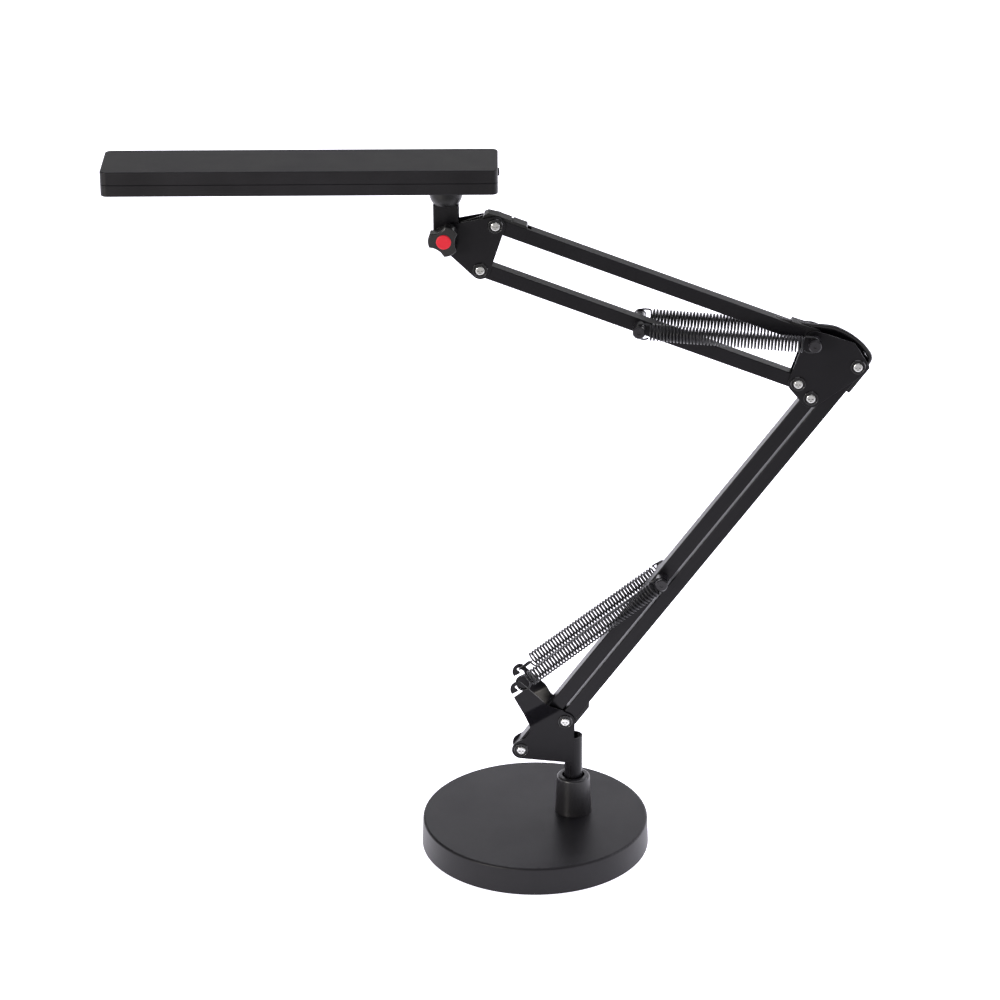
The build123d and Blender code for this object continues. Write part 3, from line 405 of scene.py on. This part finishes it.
def on_top_bar(along, rise):
    """A place along the upper top bar from its head pivot, and above its middle line."""
    return top_bar_head + along_top_bar * along + above_top_bar * rise


def lead_piece(name, route, node):
    """A smooth round tube along a route's points, standing for one CAD stretch of the lead."""
    piece = tube_piece(name, route, lead_radius, lead_roundness, lead_order, lead_fineness)
    piece.data.materials.append(lead_jacket)
    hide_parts(node)
    return piece


lower_run = [on_lower_bar(foot_start, lead_outward), on_lower_bar(foot_straight, lead_outward),
             on_lower_bar(foot_inside, 0), on_lower_bar(lower_arm - elbow_inside, 0),
             on_lower_bar(lower_arm - elbow_straight, lead_outward),
             on_lower_bar(lower_arm + clip_past, lead_outward)]
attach(lead_piece("lead_in_lower_bar", lower_run, "lower_lead"), "lower_front_bar")
upper_run = [on_top_bar(-head_past, head_rise), on_top_bar(head_straight, head_rise),
             on_top_bar(head_inside, 0), on_top_bar(upper_arm - mouth_inside, 0),
             on_top_bar(upper_arm - mouth_back, mouth_rise)]
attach(lead_piece("lead_in_top_bar", upper_run, "upper_lead"), "upper_top_bar")

# Guides of the loop, given as steps right of and above the front bar's upper pivot.
loop_steps = [(0.0099, 0.0074), (0.007, 0.012), (0.0016, 0.0185), (-0.0086, 0.0263), (-0.0176, 0.031)]
loop_way = [front_top + Vector((x, 0, z)) for x, z in loop_steps]
loop_middle = (loop_way[2] + loop_way[3]) / 2
lower_loop = [lower_run[-1], on_lower_bar(lower_arm + clip_past + loop_straight, lead_outward),
              *loop_way[:3], loop_middle]
lead_loop_lower = lead_piece("lead_loop_at_lower_bar", lower_loop, "lead_loop_lower")
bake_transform(lead_loop_lower)
mouth = upper_run[-1]
mouth_way = (mouth - upper_run[-2]).normalized()
upper_loop = [loop_middle, *loop_way[3:], mouth + mouth_way * mouth_straight, mouth]
lead_loop_upper = lead_piece("lead_loop_at_top_bar", upper_loop, "lead_loop_upper")
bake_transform(lead_loop_upper)

# Guides between the head plates, given as steps right of and above the tilt bolt.
head_steps = [(0.03, 0.0136), (0.0184, 0.0096), (0.01, 0.0076), (0.0042, 0.0072)]
head_run = [upper_run[0], on_top_bar(-head_leave, head_rise)]
head_run += [tilt_axis + Vector((x, 0, z)) for x, z in head_steps]
head_lead = lead_piece("lead_between_head_plates", head_run, "head_lead")
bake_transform(head_lead)


# Round base
# The drum is moulded in black plastic with a fine spark-eroded grain, the post's tower in a smoother one.
# An iron weight lies inside on a steel closing plate, over a soft rubber pad.
def dress(material, *names):
    """Gives CAD nodes this material alone."""
    for name in names:
        node = frame["nodes"][name]
        node.data.materials.clear()
        node.data.materials.append(material)


grained_plastic = finish("grained_black_plastic", (0.0076, 0.0071, 0.0088), roughness=0.4, grain=1600,
                         grain_depth=0.00006, cloud=26, cloud_spread=0.25, rough_spread=0.1, specular=0.24)
smooth_plastic = finish("smooth_black_plastic", (0.012, 0.0114, 0.0133), roughness=0.33, grain=1500,
                        grain_depth=0.00002, cloud=30, cloud_spread=0.15, rough_spread=0.06)
cast_iron = finish("rough_cast_iron", (0.09, 0.085, 0.08), roughness=0.75, grain=350,
                   grain_depth=0.0003, cloud=40, cloud_spread=0.3, rough_spread=0.1, metallic=0.7)
plate_steel = finish("painted_plate_steel", (0.03, 0.03, 0.03), roughness=0.5, grain=800,
                     grain_depth=0.00005, cloud=30, cloud_spread=0.15, rough_spread=0.06, metallic=0.2)
foot_rubber = finish("soft_foot_rubber", (0.02, 0.02, 0.02), roughness=0.85, grain=1100,
                     grain_depth=0.0002, cloud=50, cloud_spread=0.2, rough_spread=0.06)
dress(grained_plastic, "base_cover")
dress(smooth_plastic, "post_socket")
dress(cast_iron, "base_ballast")
dress(plate_steel, "base_plate")
dress(foot_rubber, "foot_pad")

# Bars, plates and bracket
# Steel tube and sheet, bent and punched, with a thin satin-black powder coat over all edges.
# The plates sit on both sides of the bars and the lower bracket's rolled barrel is the post.
powder_coat = finish("satin_black_powder_coat", (0.006, 0.0056, 0.0072), roughness=0.3, grain=1200,
                     grain_depth=0.00003, cloud=22, cloud_spread=0.12, rough_spread=0.05, specular=0.2)
dress(powder_coat, "lower_bracket", "lower_front_bar", "lower_rear_bar", "upper_top_bar", "upper_bottom_bar",
      "elbow_plate_near", "elbow_plate_far", "head_plate_near", "head_plate_far", "neck")

# Cross pins and tilt bolt
# Turned steel pins with a groove at each end for the springs' loops, blackened in hot oxide.
# They are riveted through their bars, and the tilt bolt has a domed head at the back.
oxide_steel = finish("black_oxide_steel", (0.016, 0.015, 0.018), roughness=0.27, grain=1000,
                     grain_depth=0.00003, cloud=70, cloud_spread=0.2, rough_spread=0.07, metallic=0.2)
dress(oxide_steel, "lower_spring_pin", "elbow_spring_pin", "upper_spring_pin", "tilt_bolt")

# Screws and nuts
# Bright zinc-plated pan-head screws with a cross recess, and plain hexagon nuts at the back.
# They pinch the plates together through the bars.
zinc_steel = finish("bright_zinc_steel", (0.6, 0.6, 0.585), roughness=0.19, grain=1500,
                    grain_depth=0.00002, cloud=120, cloud_spread=0.08, rough_spread=0.07, metallic=1.0)
dress(zinc_steel, "lower_bracket_screws", "elbow_screws", "head_bracket_screws", "lower_bracket_nuts",
      "elbow_nuts", "head_bracket_nuts", "base_screws", "head_screws", "swivel_spindle", "spindle_nut")

# Cups, washers and clips
# Small black and grey mouldings: cup washers under the screw heads, flat washers beside the bars,
# and the clips that hold the lead in the bars' slots.
moulded_black = finish("moulded_black_plastic", (0.0075, 0.0074, 0.0082), roughness=0.38, grain=1500,
                       grain_depth=0.00004, cloud=35, cloud_spread=0.12, rough_spread=0.06, specular=0.28)
cup_plastic = finish("glossy_cup_plastic", (0.006, 0.0056, 0.0068), roughness=0.1, grain=1500,
                     grain_depth=0.00001, cloud=80, cloud_spread=0.1, rough_spread=0.03)
grey_nylon = finish("grey_nylon", (0.05, 0.05, 0.05), roughness=0.55, grain=1200,
                    grain_depth=0.00003, cloud=60, cloud_spread=0.1, rough_spread=0.05)
dress(moulded_black, "lower_bar_foot_clip", "lower_bar_elbow_clip", "upper_bar_elbow_clip",
      "upper_bar_head_clip", "swivel_collar", "post_bushing")
dress(cup_plastic, "lower_bracket_cups", "elbow_cups", "head_bracket_cups")
dress(grey_nylon, "lower_bracket_washers", "elbow_washers", "head_bracket_washers", "neck_washers")

# Hand knob
# A three-lobed knob moulded in black plastic turns on the tilt bolt and clamps the neck.
# A red plastic cap is pressed into its face.
knob_plastic = finish("worn_knob_plastic", (0.011, 0.0107, 0.0116), roughness=0.24, grain=1500,
                      grain_depth=0.00004, cloud=60, cloud_spread=0.2, rough_spread=0.07)
cap_plastic = finish("red_cap_plastic", (0.62, 0.012, 0.027), roughness=0.32, grain=1300,
                     grain_depth=0.00003, cloud=60, cloud_spread=0.05, rough_spread=0.05, specular=0.4)
dress(knob_plastic, "tilt_knob")
dress(cap_plastic, "knob_cap")

# Light head
# Two shallow shells moulded in the base's grained plastic meet at a seam round the sides.
# An opal sheet closes the opening under the light-emitting board.
opal_plastic = finish("opal_diffuser_plastic", (0.86, 0.86, 0.83), roughness=0.45, grain=700,
                      grain_depth=0.00008, cloud=20, cloud_spread=0.02, rough_spread=0.05)
white_board = finish("white_coated_board", (0.8, 0.8, 0.8), roughness=0.4, grain=900,
                     grain_depth=0.00003, cloud=30, cloud_spread=0.03, rough_spread=0.05)
phosphor = finish("yellow_phosphor", (0.85, 0.62, 0.12), roughness=0.35, grain=1500,
                  grain_depth=0.00004, cloud=200, cloud_spread=0.08, rough_spread=0.05)
dress(grained_plastic, "head_upper_shell", "head_lower_shell")
dress(opal_plastic, "diffuser")
dress(white_board, "led_board")
dress(phosphor, "led_chips")
dress(moulded_black, "switch_body", "switch_button")
